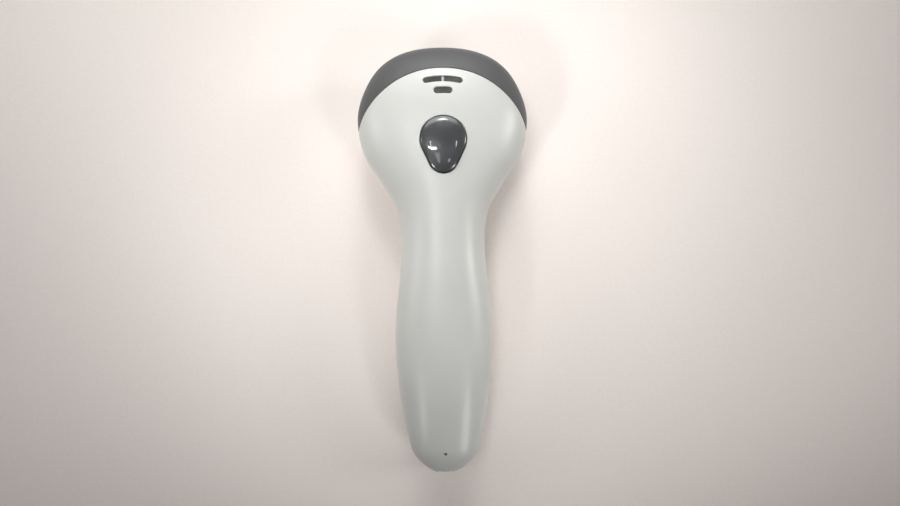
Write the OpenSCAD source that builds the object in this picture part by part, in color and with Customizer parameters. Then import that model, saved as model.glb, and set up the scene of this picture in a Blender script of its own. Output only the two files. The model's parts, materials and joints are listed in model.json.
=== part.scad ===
// Handheld single-line barcode scanner, lying on its underside.
// +Y runs along the handle towards the nose, +Z is up, and the origin is on the table under the middle.
// Millimetres throughout.

/* [Body] */
// Length from the end of the handle to the tip of the nose
length = 195; // [188:1:202]
// Width across the head
head_w = 78.6; // [76:0.2:82]
// Width across the palm swell of the handle
palm_w = 44.8; // [43:0.2:48]
// Wall thickness of both housing shells
wall = 2.2; // [2:0.1:2.4]
// Gap left where two outer parts meet
reveal = 0.16; // [0.1:0.02:0.3]

/* [Trigger] */
// Radius of the button's round end
button_r = 10; // [9.6:0.1:10.4]
// Radius of the button's narrow end
button_tip_r = 6.4; // [6:0.1:6.8]
// Travel of the button and of the switch under it
button_travel = 0.6; // [0.3:0.1:0.6]

/* [Optics] */
// Width of the window pane
window_w = 55; // [52:0.2:56]
// Height of the window pane
window_h = 20; // [19:0.2:20.4]
// Lean of the window, top edge forward, in degrees
window_tilt = 10; // [6:1:12]
// Radius of the scan mirror's pivot shaft
shaft_r = 0.75; // [0.6:0.05:0.9]

/* [Cable port] */
// Radius of the hole that a pin goes into to free the cable
release_r = 0.65; // [0.5:0.05:0.8]
// Width of the modular plug's opening
port_w = 12.2; // [12:0.1:12.6]

/* [Hidden] */

stretch = length / 195;          // how far the driven length departs from the drawn one
sliver = 0.01;                   // overrun that keeps two cuts from sharing a face
$fn = 48;

// Ribs of the body: place along Y, half width, top, widest level, bottom, squareness above and below
// that level.
palm = palm_w / 2;
head = head_w / 2;
RIBS = [
  [-98.5, 11.9, 22.2, 16.6,  3.0, 2.20, 2.20],
  [-88.5, 15.0, 24.0, 15.2,  0.4, 2.30, 2.30],
  [-78.5, palm - 4.9, 26.6, 14.4, -0.8, 2.40, 2.40],
  [-65.0, palm - 2.3, 29.6, 14.0, -0.8, 2.40, 2.40],
  [-53.0, palm - 0.8, 31.6, 14.8,  0.2, 2.40, 2.40],
  [-38.0, palm,       33.5, 15.8,  1.8, 2.40, 2.40],
  [-23.0, palm - 0.7, 34.8, 17.0,  4.0, 2.30, 2.30],
  [-10.0, palm - 2.2, 35.7, 18.2,  6.4, 2.20, 2.20],
  [  4.0, palm - 3.3, 36.6, 19.2,  8.0, 2.10, 2.10],
  [ 15.0, palm - 2.8, 37.6, 20.0,  8.0, 2.10, 2.10],
  [ 24.0, palm - 0.3, 38.6, 20.6,  6.6, 2.10, 2.15],
  [ 34.0, head - 11.2, 39.8, 21.2,  3.6, 2.10, 2.25],
  [ 47.0, head - 3.0, 41.2, 21.8, -0.6, 2.15, 2.50],
  [ 62.0, head,       42.0, 22.4, -1.5, 2.20, 2.90],
  [ 80.0, head - 0.6, 42.2, 22.4, -1.0, 2.20, 3.20],
  [ 98.5, head + 0.6, 42.4, 24.0, -0.5, 2.20, 3.20]
];
// Columns of RIBS.
W = 1;
TOP = 2;
MID = 3;
BOTTOM = 4;
SQUARE_UP = 5;
SQUARE_DOWN = 6;

tail_r = 12;                     // length over which the handle's end rounds off
nose_tip = 96.5;
nose_w_from = 59.2;              // where the head starts to narrow in plan
nose_h_from = 50;                // where it starts to round off in height

// Seam between the housing and the bumper, an arc seen from above.
seam_y = 40.7;
seam_r = 42.4;

// Levels inside the housing.
floor_z = wall;
board_z = 31.7;                  // underside of the head board
board_t = 1.2;
main_z = 6.4;                    // underside of the main board
main_t = 1.5;
plate_z = 8;                     // underside of the optics chassis
plate_t = 1.6;
beam_z = 17.5;                   // height of the laser beam
boss_r = 3.2;
screw_seat_z = 13;               // where the case screws' heads stop
screw_split_z = 18;              // where the lower pillars meet the upper bosses

// Trigger.
button_y = 50.1;                 // middle of the round end
button_tip_y = 41.7;             // middle of the narrow end
button_gap = 0.35;
crown_r = 45;                    // radius of the domed top
crown_z = 43.6;                  // top of the dome
skirt_z = 37.2;                  // lower edge of the skirt that stops the button's flange
flange_t = 1.15;
switch_y = 47;
plunger_r = 1.6;
switch_size = 6.2;
switch_top = board_z + board_t + 3.3;
plunger_top = switch_top + button_travel + 0.2;

// Indicator lens: underside of the plate that joins its two bars.
lens_z = 35.4;

// Window, in its own tilted plane.
window_y = 78;
window_z = 16;
window_t = 2;
seal_t = 0.6;

// Scan mirror: it turns about a vertical shaft and rests turned half way towards the laser.
pivot_y = 48;
laser_angle = 43.5;              // direction of the laser seen from the pivot, from straight ahead
mirror_angle = laser_angle / 2;
bush_r = 1.8;
shaft_gap = 0.04;
bridge_z = 25;                   // underside of the arm that holds the upper bush
barrel_r = 3.5;

// Cable port at the end of the handle.
room_end_y = -87;                // behind this the end of the handle is solid
jack_y = -86.5;
jack_l = 15;
jack_w = 15.4;
jack_h = 10.4;
port_z = 9.4;
port_h = 7;
latch_w = 6.6;
latch_h = 2.4;
release_y = -88.8;

CASE_SCREWS = [[-27, 55], [27, 55], [0, -12]];
CHASSIS_SCREWS = [[-17.5, 53.2], [17.5, 53.2], [0, 67], [-4, 35.4]];
HEAD_POSTS = [[-20.5, 50], [20.5, 50], [-15, 40], [15, 40]];
MAIN_SCREWS = [[-9.2, -54.5], [9.2, -54.5]];
BEEPER = [-5.6, -46];
RIBBON_X = [4, 11.6];
ribbon_t = 0.6;

// ---------- curves ----------
function rib_before(y, i = 0) = (i >= len(RIBS) - 2 || y < RIBS[i + 1][0]) ? i : rib_before(y, i + 1);
function rib_slope(i, c) =
  let (a = max(i - 1, 0), b = min(i + 1, len(RIBS) - 1))
  (RIBS[b][c] - RIBS[a][c]) / (RIBS[b][0] - RIBS[a][0]);
function rib(y, c) =
  let (i = rib_before(y), h = RIBS[i + 1][0] - RIBS[i][0], u = (y - RIBS[i][0]) / h)
  RIBS[i][c] * (2 * pow(u, 3) - 3 * u * u + 1) + RIBS[i + 1][c] * (3 * u * u - 2 * pow(u, 3))
  + h * rib_slope(i, c) * (pow(u, 3) - 2 * u * u + u) + h * rib_slope(i + 1, c) * (pow(u, 3) - u * u);

function rounding(t, power) = t <= 0 ? 1 : pow(max(0, 1 - pow(t, power)), 1 / power);
function tail(y) = rounding(1 - (y + 98.5) / tail_r, 2);
function nose(y, from, power) = rounding((y - from) / (nose_tip - from), power);

function half_width(y) = tail(y) * nose(y, nose_w_from, 2.44) * rib(y, W);
function rise(y) = tail(y) * nose(y, nose_h_from, 2.6) * (rib(y, TOP) - rib(y, MID));
function drop(y) = tail(y) * nose(y, nose_h_from, 3.5) * (rib(y, MID) - rib(y, BOTTOM));
function bulge(a, power) = sign(a) * pow(abs(a), 2 / power);

// A point of the skin at angle a, 0 at one side, 90 in the middle, 180 at the other side.
// side is 1 for the upper half and -1 for the lower. gap holds it off the parting line.
function skin(y, a, side, inset = 0, gap = 0, lowest = 0) =
  let (up = rib(y, SQUARE_UP), down = rib(y, SQUARE_DOWN), level = rib(y, MID), c = bulge(cos(a), up))
  let (s = side > 0 ? bulge(sin(a), up) : pow(max(0, 1 - pow(min(1, abs(c)), down)), 1 / down))
  [
    (half_width(y) - inset) * c,
    y * stretch,
    side > 0 ? max(level + gap, level + s * (rise(y) - inset))
             : max(lowest, min(level - gap, level - s * (drop(y) - inset)))
  ];

// Heights of the skin above and below a spot x, y.
function arch(x, y, c) = pow(max(0, 1 - pow(min(1, abs(x) / half_width(y)), rib(y, c))), 1 / rib(y, c));
function roof(x, y) = rib(y, MID) + rise(y) * arch(x, y, SQUARE_UP);
function ground(x, y) = rib(y, MID) - drop(y) * arch(x, y, SQUARE_DOWN);

// Where the skin at angle a meets the seam's arc of radius r.
function past_seam(y, a, inset, r) =
  let (q = skin(y, a, 1, inset)) q[0] * q[0] + pow(q[1] - seam_y, 2) > r * r;
function meet(a, inset, r, lo = 45, hi = nose_tip - 0.5, tries = 18) =
  let (mid = (lo + hi) / 2)
  tries == 0 ? mid
  : past_seam(mid, a, inset, r) ? meet(a, inset, r, lo, mid, tries - 1)
  : meet(a, inset, r, mid, hi, tries - 1);

SEGMENTS = 18;                   // flats across the upper half of the skin
ANGLES = [for (i = [0:SEGMENTS]) 180 * i / SEGMENTS];
TAIL = [for (a = [12, 30, 50, 70]) -98.5 + tail_r * (1 - cos(a))];
RUN = [for (i = [0:14]) room_end_y + i * (40 - room_end_y) / 14];
AHEAD = [0.2, 0.4, 0.6, 0.8, 1];

// Skin over rings of equal numbers of points, closed round each ring. Triangles with no area are left out.
function apart(a, b, c) = norm(a - b) > 0.001 && norm(b - c) > 0.001 && norm(c - a) > 0.001;
module skinned(rings, caps, turn = false) {
  n = len(rings[0]);
  points = [for (r = rings) for (q = r) q];
  sides = [for (k = [0:len(rings) - 2]) for (i = [0:n - 1]) for (half_quad = [0, 1])
    half_quad == 0 ? [k * n + i, (k + 1) * n + i, (k + 1) * n + (i + 1) % n]
                   : [k * n + i, (k + 1) * n + (i + 1) % n, k * n + (i + 1) % n]];
  faces = [for (f = concat(sides, caps)) if (apart(points[f[0]], points[f[1]], points[f[2]])) f];
  polyhedron(points = points, faces = turn ? [for (f = faces) [f[0], f[2], f[1]]] : faces);
}

// A cap on a ring that starts at point first: strips run between point i and its partner from the other end.
function cap(first, n, turned) =
  [for (i = [0:n / 2 - 2]) for (half_quad = [0, 1])
    let (a = first + i, b = first + i + 1, c = first + n - 2 - i, d = first + n - 1 - i)
    half_quad == 0 ? (turned ? [a, c, b] : [a, b, c]) : (turned ? [a, d, c] : [a, c, d])];

// One section of a shell: out along the outer skin and back along the inner one, or along the parting
// line where the handle's end is solid.
function shell_ring(y_out, y_in, side, hollow, lowest_in) =
  concat(
    [for (i = [0:SEGMENTS]) skin(y_out[i], ANGLES[i], side, 0, reveal / 2)],
    [for (i = [SEGMENTS:-1:0])
      let (q = skin(y_in[i], ANGLES[i], side, wall, reveal / 2, lowest_in))
      hollow ? q : [q[0], q[1], rib(y_in[i], MID) + side * reveal / 2]]
  );

module shell(side) {
  r = seam_r - reveal / 2;
  n = 2 * (SEGMENTS + 1);
  same = function (y) [for (a = ANGLES) y];
  front_out = [for (a = ANGLES) meet(a, 0, r)];
  front_in = [for (a = ANGLES) meet(a, wall, r)];
  rings = concat(
    [for (y = TAIL) shell_ring(same(y), same(y), side, false, floor_z)],
    [shell_ring(same(room_end_y), same(room_end_y), side, false, floor_z)],
    [for (y = RUN) shell_ring(same(y), same(y), side, true, floor_z)],
    [for (u = AHEAD) shell_ring(
      [for (y = front_out) 40 + u * (y - 40)], [for (y = front_in) 40 + u * (y - 40)], side, true, floor_z)]
  );
  last = len(rings) - 1;
  skinned(rings, concat(cap(0, n, true), cap(last * n, n, false)), side > 0);
}

// The solid nose in front of the seam.
module nose_block() {
  n = 2 * SEGMENTS;
  back = [for (a = ANGLES) meet(a, 0, seam_r + reveal / 2)];
  steps = [0, 0.15, 0.3, 0.45, 0.6, 0.72, 0.82, 0.9, 0.96, 1];
  rings = [for (u = steps) let (ys = [for (y = back) y + u * (nose_tip - 0.2 - y)])
    concat(
      [for (i = [0:SEGMENTS]) skin(ys[i], ANGLES[i], 1)],
      [for (i = [SEGMENTS - 1:-1:1]) skin(ys[i], ANGLES[i], -1)]
    )];
  last = len(rings) - 1;
  // Point i above faces point n - i below, so the strips of a cap start one point round.
  function strip(first, turned) = [for (i = [0:SEGMENTS - 1]) for (half_quad = [0, 1])
    let (a = first + i, b = first + i + 1, c = first + (n - i - 1) % n, d = first + (n - i) % n)
    half_quad == 0 ? (turned ? [a, c, b] : [a, b, c]) : (turned ? [a, d, c] : [a, c, d])];
  skinned(rings, concat(strip(0, true), strip(last * n, false)), true);
}

// ---------- flat shapes ----------
// Points of an arc about [0, y], from one angle to another.
function arc(y, r, from, to, n) =
  [for (i = [0:n]) let (a = from + (to - from) * i / n) [r * cos(a), y + r * sin(a)]];

// The button's outline, grown by d: two arcs and their common tangents.
module egg(d = 0) {
  lean = asin((button_r - button_tip_r) / (button_y - button_tip_y));
  polygon(concat(
    arc(button_y, button_r + d, -lean, 180 + lean, 40),
    arc(button_tip_y, button_tip_r + d, 180 + lean, 360 - lean, 20)
  ));
}

// A slot with round ends that follows an arc about the seam's centre.
module arc_slot(r, half_length, width) {
  a = half_length / r * 180 / PI;
  translate([0, seam_y]) {
    intersection() {
      difference() {
        circle(r = r + width / 2, $fn = 120);
        circle(r = r - width / 2, $fn = 120);
      }
      polygon([[0, 0], [-2 * r * sin(a), 2 * r * cos(a)], [2 * r * sin(a), 2 * r * cos(a)]]);
    }
    for (s = [-1, 1]) translate([s * r * sin(a), r * cos(a)]) circle(r = width / 2, $fn = 24);
  }
}
module long_slot(d = 0) { arc_slot(36.9, 7.5, 2.7 + 2 * d); }
module short_slot(d = 0) { arc_slot(31.4, 2.6, 3.1 + 2 * d); }

module rounded_slab(w, h, r, t) {
  linear_extrude(height = t) {
    square([w - 2 * r, h], center = true);
    square([w, h - 2 * r], center = true);
    for (x = [-1, 1]) for (y = [-1, 1])
      translate([x * (w / 2 - r), y * (h / 2 - r)]) circle(r = r, $fn = 32);
  }
}

module block(from, size) { translate(from) cube(size); }
module pin(place, r, from_z, to_z) {
  translate([place[0], place[1], from_z]) cylinder(r = r, h = to_z - from_z);
}

// ---------- housing ----------
module port_cut() {
  block([-port_w / 2, -110, port_z], [port_w, 110 + jack_y + sliver, port_h]);
  block([-latch_w / 2, -110, port_z + port_h - sliver], [latch_w, 110 + jack_y + sliver, latch_h + sliver]);
}

module top_shell() {
  color("whitesmoke") difference() {
    union() {
      shell(1);
      // Skirt round the button, cut off inside the sloping wall.
      intersection() {
        translate([0, 0, skirt_z]) linear_extrude(height = 9) egg(1.9);
        translate([0, 48, 40]) rotate([4.3, 0, 0]) block([-20, -20, -6], [40, 40, 6]);
      }
      // Bosses that the case screws bite into.
      for (c = CASE_SCREWS) pin(c, boss_r, screw_split_z + reveal, roof(abs(c[0]) + boss_r, c[1]) - 0.4);
    }
    port_cut();
    translate([0, 0, 30]) linear_extrude(height = 20) egg(button_gap);
    translate([0, 0, 30]) linear_extrude(height = 20) long_slot();
    translate([0, 0, 30]) linear_extrude(height = 20) short_slot();
    pin([0, release_y], release_r, port_z + port_h + 1, 30);
    for (c = CASE_SCREWS) pin(c, 1.3, screw_split_z - 1, 29);
  }
}

// Height inside the lower wall at which a pillar of radius r can start.
function footing(c, r) =
  max(0, ground(abs(c[0]) + r, c[1]), ground(c[0], c[1] - r), ground(c[0], c[1] + r)) + 0.5;

module bottom_shell() {
  color("whitesmoke") difference() {
    union() {
      shell(-1);
      for (c = CASE_SCREWS) pin(c, 3.6, footing(c, 3.6), screw_split_z);
      for (c = CHASSIS_SCREWS) pin(c, 2.6, footing(c, 2.6), plate_z);
      for (c = MAIN_SCREWS) pin(c, 2.2, footing(c, 2.2), main_z);
    }
    port_cut();
    // Recess for the label.
    translate([0, 58, -1]) rounded_slab(23, 20, 2, 1.4);
    for (c = CASE_SCREWS) {
      pin(c, 2.7, -1, screw_seat_z);
      pin(c, 1.5, screw_seat_z - 1, screw_split_z + 1);
    }
    for (c = CHASSIS_SCREWS) pin(c, 0.9, plate_z - 1.4, plate_z + 1);
    for (c = MAIN_SCREWS) pin(c, 0.9, 3.6, main_z + 1);
    // The beeper's five sound holes.
    pin(BEEPER, 0.7, -1, 8);
    for (a = [45:90:315]) pin(BEEPER + 3 * [cos(a), sin(a)], 0.7, -1, 8);
  }
}

module rating_label() {
  color("silver") translate([0, 58, 0.18]) rounded_slab(22.4, 19.4, 1.8, 0.22);
}

// ---------- nose ----------
// Local z points out through the window, local y points down.
module at_window() {
  translate([0, window_y, window_z]) rotate([-90 - window_tilt, 0, 0]) children();
}

module front_bumper() {
  color("dimgray") difference() {
    union() {
      nose_block();
      // The frame round the window reaches back under the housing.
      at_window() translate([0, 0, -3.2]) rounded_slab(window_w + 3.6, window_h + 2.4, 5, 7);
    }
    // Mouth in front of the window, and the seat that the seal and the pane are pressed into from behind.
    at_window() translate([0, 0, -4]) rounded_slab(window_w - 4, window_h - 4, 4, 40);
    at_window() translate([0, 0, -16]) rounded_slab(window_w + 0.4, window_h + 0.4, 3.2, 16);
  }
}

module window_seal() {
  color("black") at_window() difference() {
    translate([0, 0, -seal_t]) rounded_slab(window_w, window_h, 3, seal_t);
    translate([0, 0, -seal_t - 1]) rounded_slab(window_w - 4.4, window_h - 4.4, 2, seal_t + 2);
  }
}

module scan_window() {
  color([0.45, 0.03, 0.05, 0.6]) at_window() translate([0, 0, -seal_t - window_t - 0.02])
    rounded_slab(window_w, window_h, 3, window_t);
}

// ---------- trigger ----------
module trigger_button() {
  color("dimgray") union() {
    difference() {
      union() {
        intersection() {
          translate([0, 0, skirt_z - flange_t - 0.05]) linear_extrude(height = 12) egg();
          translate([0, button_y, crown_z - crown_r]) sphere(r = crown_r, $fn = 128);
        }
        translate([0, 0, skirt_z - flange_t - 0.05]) linear_extrude(height = flange_t) egg(1.6);
      }
      translate([0, 0, 30]) linear_extrude(height = 9.2) egg(-1.5);
    }
    pin([0, switch_y], 2, plunger_top + 0.02, 40);
  }
}

module trigger_switch() {
  color("black") difference() {
    block([-switch_size / 2, switch_y - switch_size / 2, board_z + board_t], [switch_size, switch_size, 3.3]);
    pin([0, switch_y], plunger_r + 0.05, switch_top - 1.8, switch_top + 1);
  }
}

module switch_plunger() { color("white") pin([0, switch_y], plunger_r, switch_top - 1, plunger_top); }

// ---------- indicators ----------
module indicator_lens() {
  color([0.3, 0.3, 0.3, 0.8]) {
    translate([0, 0, lens_z]) {
      translate([0, 74.4, 0]) rounded_slab(20.6, 10.4, 2.5, 0.9);
      linear_extrude(height = 3.7) long_slot(-0.12);
      linear_extrude(height = 4.7) short_slot(-0.12);
    }
  }
}
module led(place) { block([place[0] - 0.8, place[1] - 0.6, board_z + board_t], [1.6, 1.2, 0.8]); }
module read_led() { color("green") led([3, 77.4]); }
module laser_led() { color("red") led([0, 72]); }

// ---------- head board ----------
module head_board() {
  color("darkgreen") difference() {
    translate([0, 0, board_z]) linear_extrude(height = board_t)
      polygon([[-17.5, 35], [17.5, 35], [23, 45], [23, 58], [9.5, 64], [9.5, 80.5],
               [-9.5, 80.5], [-9.5, 64], [-23, 58], [-23, 45]]);
    for (c = HEAD_POSTS) pin(c, 1.1, board_z - 1, board_z + 4);
  }
}

module head_board_chips() {
  top = board_z + board_t;
  color("black") {
    block([9.5, 44, top], [8, 6, 1.1]);
    block([-17.5, 45, top], [6, 5, 1.1]);
    block([-7, 63.5, top], [6, 4, 1]);
    for (x = [2, 4, 6]) block([x, 64, top], [1.2, 0.8, 0.6]);
  }
}

module head_connector() { color("ivory") block([3.2, 35.6, board_z - 3], [9.2, 3.8, 3]); }

// ---------- optics ----------
module at_pivot(a = mirror_angle) { translate([0, pivot_y, beam_z]) rotate([0, 0, a]) children(); }

// A cylinder that lies along the laser's own axis, from near to far measured from the pivot.
module along_beam(r, near, far) {
  at_pivot(laser_angle) translate([0, near, 0]) rotate([-90, 0, 0]) cylinder(r = r, h = far - near);
}

module optics_chassis() {
  top = plate_z + plate_t;
  color("gray") difference() {
    union() {
      translate([0, 0, plate_z]) linear_extrude(height = plate_t)
        polygon([[-9, 32.6], [9, 32.6], [17.4, 39], [22.8, 46], [22.8, 62], [27, 66], [27, 71],
                 [-27, 71], [-27, 66], [-22.8, 62], [-22.8, 46], [-17.4, 39]]);
      for (c = HEAD_POSTS) pin(c, 2.2, plate_z, board_z);
      // Holder of the laser barrel.
      at_pivot(laser_angle) block([-4.9, 15, top - beam_z - 0.2], [9.8, 8, beam_z - top + 0.2 + 4.9]);
      // Bridge over the mirror, on two pillars behind it.
      for (x = [-10.6, 10.6]) block([x - 1.6, 41.2, plate_z], [3.2, 3.6, bridge_z + 2 - plate_z]);
      translate([0, 0, bridge_z]) linear_extrude(height = 2)
        polygon([[-12.2, 41.2], [12.2, 41.2], [12.2, 44.8], [3.2, 51], [-3.2, 51], [-12.2, 44.8]]);
      // Pedestal of the drive coil, and the post of the collecting lens.
      at_pivot() block([-3.4, -12.6, plate_z + 1 - beam_z], [6.8, 4.8, 4.1]);
      block([10.8, 61.4, plate_z], [11.6, 6.2, 3.1]);
      // Arms of the two proximity diodes.
      for (x = [-24.2, 24.2]) block([x - 2.6, 66.6, plate_z], [5.2, 3.6, beam_z + 2.6 - plate_z]);
    }
    for (z = [plate_z, bridge_z]) pin([0, pivot_y], bush_r, z - 1, z + 3);
    along_beam(barrel_r + 0.02, 10, 30);
    for (c = CHASSIS_SCREWS) pin(c, 1.2, plate_z - 1, top + 1);
    for (c = HEAD_POSTS) pin(c, 0.9, board_z - 6, board_z + 1);
    for (x = [-24.2, 24.2]) translate([x, 60, beam_z]) rotate([-90, 0, 0]) cylinder(r = 1.55, h = 12);
  }
}

module laser_barrel() {
  color("goldenrod") difference() {
    along_beam(barrel_r, 12, 26);
    along_beam(2.8, 23.4, 27);
    along_beam(1.2, 11, 27);
    along_beam(2.6, 11, 15.2);
  }
}
module laser_diode() {
  color("silver") {
    along_beam(2.76, 24.8, 26);
    along_beam(1.1, 22.2, 24.9);
    for (a = [90, 210, 330]) at_pivot(laser_angle) translate([0.9 * cos(a), 25.9, 0.9 * sin(a)])
      rotate([-90, 0, 0]) cylinder(r = 0.22, h = 3.4);
  }
}
// Flat at the back, and a shallow dome of radius 4.8 that faces the mirror.
module collimator_lens() {
  r = 2.56;
  dome = [for (i = [5:-1:0])
    let (x = r * i / 5) [x, 0.5 + sqrt(pow(4.8, 2) - x * x) - sqrt(pow(4.8, 2) - r * r)]];
  color([0.8, 0.9, 1, 0.6]) at_pivot(laser_angle) translate([0, 15.18, 0]) rotate([90, 0, 0])
    rotate_extrude() polygon(concat([[0, 0], [r, 0]], dome));
}
module lens_retainer() {
  color("black") difference() {
    along_beam(2.58, 12, 13.2);
    along_beam(1.3, 11, 14);
  }
}

module scan_mirror() { color("lightskyblue") at_pivot() block([-7.5, 2.4, -5], [15, 1, 10]); }
module mirror_carrier() {
  color("black") at_pivot() difference() {
    union() {
      translate([0, 0, -5.2]) cylinder(r = 1.8, h = 10.4);
      block([-6.6, 1.2, -4.6], [13.2, 1.2, 9.2]);
      block([-1.5, -3.4, -2], [3, 3, 4]);
    }
    translate([0, 0, -6]) cylinder(r = shaft_r, h = 12);
  }
}
module drive_magnet() { color("silver") at_pivot() block([-2.4, -5.8, -2.2], [4.8, 2.4, 4.4]); }
module pivot_shaft() { color("silver") pin([0, pivot_y], shaft_r, plate_z + 0.3, bridge_z + 1.7); }
module pivot_bushes() {
  color("gold") for (z = [plate_z, bridge_z]) difference() {
    pin([0, pivot_y], bush_r, z, z + 2);
    pin([0, pivot_y], shaft_r + shaft_gap, z - 1, z + 3);
  }
}

// Round pieces of the coil lie on one line behind the mirror.
module behind_mirror(r, near, far) {
  at_pivot() translate([0, -near, 0]) rotate([90, 0, 0]) cylinder(r = r, h = far - near);
}
module coil_bobbin() {
  color("ivory") difference() {
    union() {
      behind_mirror(1.9, 8, 12.4);
      behind_mirror(4.3, 8, 8.6);
      behind_mirror(4.3, 11.8, 12.4);
    }
    behind_mirror(1.3, 7, 13);
  }
}
module drive_coil() {
  color("peru") difference() {
    behind_mirror(4.1, 8.62, 11.78);
    behind_mirror(1.92, 8, 12);
  }
}
module coil_core() { color("gray") behind_mirror(1.28, 7.8, 12.8); }

module collector_lens() {
  color([0.8, 0.9, 1, 0.6]) intersection() {
    block([11.4, 64.6, plate_z + 3.1], [10.4, 3, 12]);
    translate([16.6, 53.4, beam_z]) sphere(r = 14, $fn = 96);
  }
}
module light_filter() { color([0.6, 0, 0, 0.7]) block([11.9, 62.9, plate_z + 3.12], [9.4, 1, 11]); }
module photodiode() {
  color("black") {
    block([13.1, 56.6, plate_z + plate_t], [7, 1.4, 11]);
    block([14.1, 57.9, beam_z - 2.5], [5, 0.9, 5]);
  }
}
module proximity_diode(x) {
  translate([x, 0, beam_z]) rotate([-90, 0, 0]) {
    translate([0, 0, 66.2]) cylinder(r = 1.5, h = 5);
    translate([0, 0, 65.4]) cylinder(r = 1.9, h = 1);
    translate([0, 0, 71.2]) sphere(r = 1.5, $fn = 24);
    for (s = [-0.7, 0.7]) translate([s, 0, 62]) cylinder(r = 0.25, h = 3.6);
  }
}
module proximity_emitter() { color([0.5, 0.4, 0.7, 0.8]) proximity_diode(-24.2); }
module proximity_receiver() { color("black") proximity_diode(24.2); }

// ---------- handle electronics ----------
main_top = main_z + main_t;

module main_board() {
  color("darkgreen") difference() {
    translate([0, 0, main_z]) linear_extrude(height = main_t)
      polygon([[-8.5, -86.4], [8.5, -86.4], [8.5, -79], [12, -75],
               [12, -38], [-12, -38], [-12, -75], [-8.5, -79]]);
    for (c = MAIN_SCREWS) pin(c, 1.2, main_z - 1, main_top + 1);
    pin(BEEPER, 1.5, main_z - 1, main_top + 1);
  }
}

module cable_jack() {
  color("black") difference() {
    block([-jack_w / 2, jack_y, main_top], [jack_w, jack_l, jack_h]);
    block([-5.95, jack_y - 1, port_z + 0.15], [11.9, 12.2, port_h - 0.3]);
    block([-3.1, jack_y - 1, port_z + port_h - 0.2], [6.2, 8.5, 1.7]);
  }
}

// Ten spring wires rise from the floor of the jack.
module jack_contacts() {
  color("gold") for (i = [0:9])
    translate([(i - 4.5) * 1.02 - 0.2, 0, 0]) rotate([90, 0, 90]) linear_extrude(height = 0.4)
    polygon([[jack_y + 2.2, port_z + 0.2], [jack_y + 2.8, port_z + 0.2], [jack_y + 9.6, port_z + 3.1],
             [jack_y + 9.6, port_z + 3.6], [jack_y + 9.2, port_z + 3.5]]);
}

module decoder_chip() {
  color("black") block([-5, -66.4, main_top + 0.1], [10, 10, 1.4]);
  color("silver") for (s = [-1, 1]) for (i = [-4:4]) {
    block([s * 5.6 - 0.6, -61.4 + i - 0.2, main_top], [1.2, 0.4, 0.3]);
    block([i - 0.2, -61.4 + s * 5.6 - 0.6, main_top], [0.4, 1.2, 0.3]);
  }
}
module interface_chip() { color("black") block([1.2, -49.4, main_top], [7, 5, 1.2]); }
module board_capacitors() {
  color("silver") {
    pin([-9, -66], 2, main_top, main_top + 5.2);
    pin([9, -66], 2, main_top, main_top + 5.2);
    for (i = [0:3]) block([-10.5 + 2 * i, -39.6, main_top], [1.2, 0.9, 0.7]);
  }
}
module clock_crystal() { color("silver") block([-2.6, -55.2, main_top], [5.2, 2, 1.5]); }
module beeper() {
  color("black") difference() {
    pin(BEEPER, 5, main_top, main_top + 4.4);
    pin(BEEPER, 1.2, main_top - 1, main_top + 3);
  }
}
module main_connector() { color("ivory") block([3.2, -42.4, main_top], [9.2 - 0.6, 3.8, 3]); }

// Flat cable from the main board up through the neck to the head board.
RIBBON = [[-38.5, 9.4], [-34, 10.5], [-24, 13], [-8, 18.5], [8, 24.5], [22, 28.6], [30, 30.1], [35.5, 30.3]];
module ribbon_cable() {
  last = len(RIBBON) - 1;
  color("lightgray") translate([RIBBON_X[0], 0, 0]) rotate([90, 0, 90])
    linear_extrude(height = RIBBON_X[1] - RIBBON_X[0])
      polygon(concat(RIBBON, [for (i = [last:-1:0]) RIBBON[i] + [0, ribbon_t]]));
}

// ---------- fasteners ----------
// A pan head with a cross recess over a plain shank, pointing down (turn = 0) or up (turn = 180).
module screw(place, seat_z, head_r, head_h, shank_r, shank_l, turn = 0) {
  translate([place[0], place[1], seat_z]) rotate([turn, 0, 0]) difference() {
    union() {
      cylinder(r = head_r, h = head_h);
      translate([0, 0, -shank_l]) cylinder(r = shank_r, h = shank_l + sliver);
    }
    for (a = [0, 90]) rotate([0, 0, a])
      translate([-head_r * 0.6, -0.25, head_h / 2]) cube([head_r * 1.2, 0.5, head_h]);
  }
}
module case_screws() {
  color("silver") for (c = CASE_SCREWS) screw(c, screw_seat_z - 0.02, 2.3, 1.6, 1.25, 14.5, 180);
}
module chassis_screws() {
  color("silver") for (c = CHASSIS_SCREWS) screw(c, plate_z + plate_t + 0.02, 1.7, 1.1, 0.85, 2.8);
}
module head_board_screws() {
  color("silver") for (c = HEAD_POSTS) screw(c, board_z + board_t + 0.02, 1.7, 1.1, 0.85, 5);
}
module main_board_screws() {
  color("silver") for (c = MAIN_SCREWS) screw(c, main_top + 0.02, 1.7, 1.1, 0.85, 3.6);
}

top_shell();
bottom_shell();
front_bumper();
scan_window();
window_seal();
trigger_button();
indicator_lens();
head_board();
trigger_switch();
switch_plunger();
read_led();
laser_led();
optics_chassis();
laser_barrel();
laser_diode();
collimator_lens();
lens_retainer();
scan_mirror();
mirror_carrier();
drive_magnet();
pivot_shaft();
pivot_bushes();
drive_coil();
coil_bobbin();
coil_core();
collector_lens();
light_filter();
photodiode();
proximity_emitter();
proximity_receiver();
head_board_chips();
head_connector();
ribbon_cable();
main_connector();
main_board();
decoder_chip();
interface_chip();
board_capacitors();
clock_crystal();
beeper();
cable_jack();
jack_contacts();
case_screws();
chassis_screws();
head_board_screws();
main_board_screws();
rating_label();
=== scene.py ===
"""Looks of a handheld barcode scanner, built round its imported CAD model.

The shape code works in millimetres in the row frame: +Y towards the nose, +Z up.
"""
import json
import math

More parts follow.
